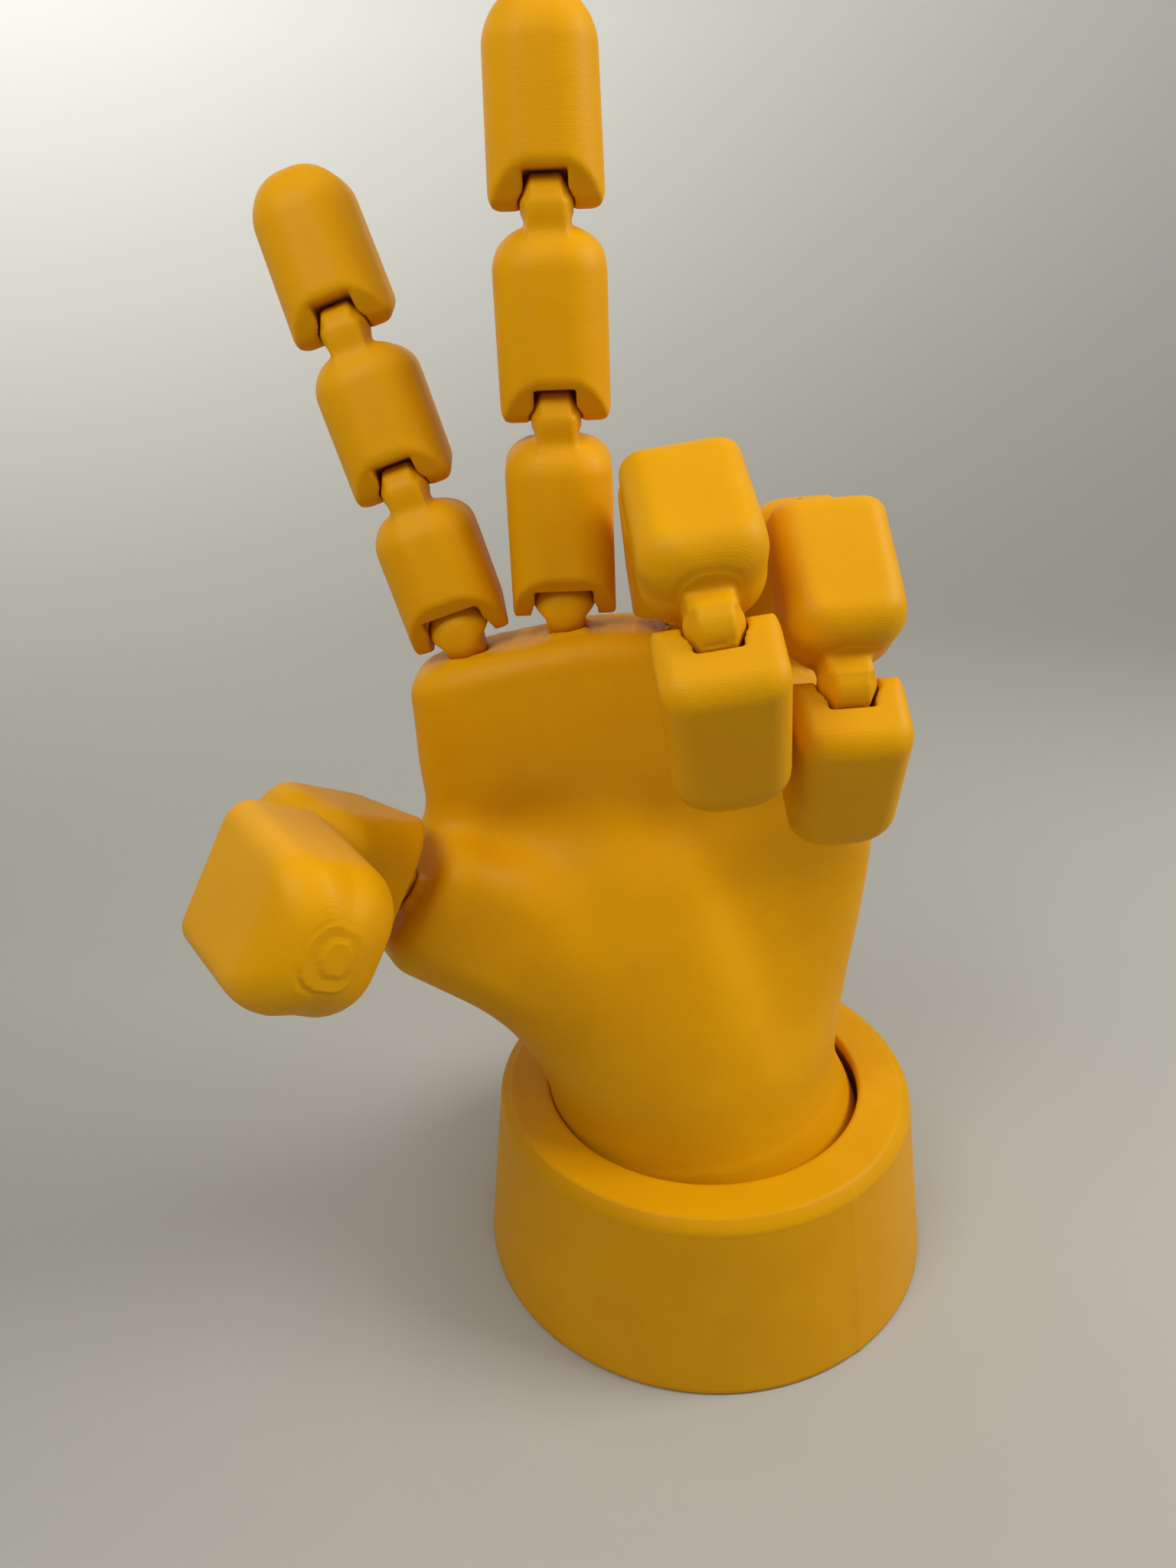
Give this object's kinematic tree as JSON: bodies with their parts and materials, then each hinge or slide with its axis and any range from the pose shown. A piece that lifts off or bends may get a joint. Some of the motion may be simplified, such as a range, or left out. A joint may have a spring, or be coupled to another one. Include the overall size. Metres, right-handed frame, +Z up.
{
  "type": "poseable articulated hand model",
  "caption": "Printed poseable left hand with jointed fingers and thumb, turning in a ring base.",
  "frame": {"origin": "centre of the base's underside", "axes": "+Z up along the base's axis, -Y the way the palm faces, -X the thumb's side"},
  "size_m": [0.102, 0.0956, 0.1814],
  "materials": {
    "plastic": "satin"
  },
  "bodies": {
    "stand": {"stand": "plastic"},
    "palm": {"palm": "plastic"},
    "index_knuckle_ball": {"index_knuckle_ball": "plastic"},
    "index_proximal": {"index_proximal": "plastic"},
    "index_middle": {"index_middle": "plastic"},
    "index_tip": {"index_tip": "plastic"},
    "middle_knuckle_ball": {"middle_knuckle_ball": "plastic"},
    "middle_proximal": {"middle_proximal": "plastic"},
    "middle_middle": {"middle_middle": "plastic"},
    "middle_tip": {"middle_tip": "plastic"},
    "ring_knuckle_ball": {"ring_knuckle_ball": "plastic"},
    "ring_proximal": {"ring_proximal": "plastic"},
    "ring_middle": {"ring_middle": "plastic"},
    "ring_tip": {"ring_tip": "plastic"},
    "little_knuckle_ball": {"little_knuckle_ball": "plastic"},
    "little_proximal": {"little_proximal": "plastic"},
    "little_middle": {"little_middle": "plastic"},
    "little_tip": {"little_tip": "plastic"},
    "thumb_knuckle_ball": {"thumb_knuckle_ball": "plastic"},
    "thumb_proximal": {"thumb_proximal": "plastic"},
    "thumb_tip": {"thumb_tip": "plastic"}
  },
  "joints": [
    {"name": "wrist_swivel", "type": "hinge", "parent": "stand", "child": "palm", "pos_m": [0, 0, 0.0165], "axis": [0, 0, 1], "continuous": true},
    {"name": "index_splay", "type": "hinge", "parent": "palm", "child": "index_knuckle_ball", "pos_m": [-0.03396, 0, 0.10764], "axis": [0, 1, 0], "range_deg": [-4, 12]},
    {"name": "index_knuckle_bend", "type": "hinge", "parent": "index_knuckle_ball", "child": "index_proximal", "pos_m": [-0.03396, 0, 0.10764], "axis": [0.9563, 0, 0.2924], "range_deg": [-3, 66]},
    {"name": "index_middle_bend", "type": "hinge", "parent": "index_proximal", "child": "index_middle", "pos_m": [-0.03988, 0.00119, 0.12702], "axis": [0.9563, 0, 0.2924], "range_deg": [-4, 81]},
    {"name": "index_tip_bend", "type": "hinge", "parent": "index_middle", "child": "index_tip", "pos_m": [-0.04595, 0.00447, 0.14685], "axis": [0.9563, 0, 0.2924], "range_deg": [-4, 81]},
    {"name": "middle_splay", "type": "hinge", "parent": "palm", "child": "middle_knuckle_ball", "pos_m": [-0.01923, 0, 0.11076], "axis": [0, 1, 0], "range_deg": [-4, 0]},
    {"name": "middle_knuckle_bend", "type": "hinge", "parent": "middle_knuckle_ball", "child": "middle_proximal", "pos_m": [-0.01923, 0, 0.11076], "axis": [1, 0, -0.0052], "range_deg": [-12, 37]},
    {"name": "middle_middle_bend", "type": "hinge", "parent": "middle_proximal", "child": "middle_middle", "pos_m": [-0.0191, -0.002, 0.13546], "axis": [1, 0, -0.0052], "range_deg": [-4, 81]},
    {"name": "middle_tip_bend", "type": "hinge", "parent": "middle_middle", "child": "middle_tip", "pos_m": [-0.01897, -0.002, 0.15956], "axis": [1, 0, -0.0052], "range_deg": [-4, 81]},
    {"name": "ring_splay", "type": "hinge", "parent": "palm", "child": "ring_knuckle_ball", "pos_m": [-0.00308, 0, 0.11133], "axis": [0.0087, -1, 0.0011], "range_deg": [-3, 0]},
    {"name": "ring_knuckle_bend", "type": "hinge", "parent": "ring_knuckle_ball", "child": "ring_proximal", "pos_m": [-0.00308, 0, 0.11133], "axis": [0.9925, 0.0087, 0.1219], "range_deg": [-23, 14.7]},
    {"name": "ring_middle_bend", "type": "hinge", "parent": "ring_proximal", "child": "ring_middle", "pos_m": [-0.00498, -0.01803, 0.12807], "axis": [0.9925, 0.0087, 0.1219], "range_deg": [-80, 5]},
    {"name": "ring_tip_bend", "type": "hinge", "parent": "ring_middle", "child": "ring_tip", "pos_m": [-0.00342, -0.03899, 0.1169], "axis": [0.9925, 0.0087, 0.1219], "range_deg": [-84, 5]},
    {"name": "little_splay", "type": "hinge", "parent": "palm", "child": "little_knuckle_ball", "pos_m": [0.01152, 0, 0.10648], "axis": [0.0227, -0.9997, 0.0006], "range_deg": [-8, 0.5]},
    {"name": "little_knuckle_bend", "type": "hinge", "parent": "little_knuckle_ball", "child": "little_proximal", "pos_m": [0.01152, 0, 0.10648], "axis": [0.9994, 0.0227, 0.0244], "range_deg": [-52, 12]},
    {"name": "little_middle_bend", "type": "hinge", "parent": "little_proximal", "child": "little_middle", "pos_m": [0.01149, -0.01657, 0.12312], "axis": [0.9994, 0.0227, 0.0244], "range_deg": [-97, 1]},
    {"name": "little_tip_bend", "type": "hinge", "parent": "little_middle", "child": "little_tip", "pos_m": [0.01223, -0.0328, 0.10799], "axis": [0.9994, 0.0227, 0.0244], "range_deg": [-70.5, 14.5]},
    {"name": "thumb_splay", "type": "hinge", "parent": "palm", "child": "thumb_knuckle_ball", "pos_m": [-0.0465, -0.012, 0.0755], "axis": [0.806, -0.5523, -0.2128], "range_deg": [-8, 8]},
    {"name": "thumb_knuckle_bend", "type": "hinge", "parent": "thumb_knuckle_ball", "child": "thumb_proximal", "pos_m": [-0.0465, -0.012, 0.0755], "axis": [0.4325, 0.3042, 0.8488], "range_deg": [-25, 9]},
    {"name": "thumb_tip_bend", "type": "hinge", "parent": "thumb_proximal", "child": "thumb_tip", "pos_m": [-0.05511, -0.03274, 0.08732], "axis": [0.4325, 0.3042, 0.8488], "range_deg": [-63, 6]}
  ]
}
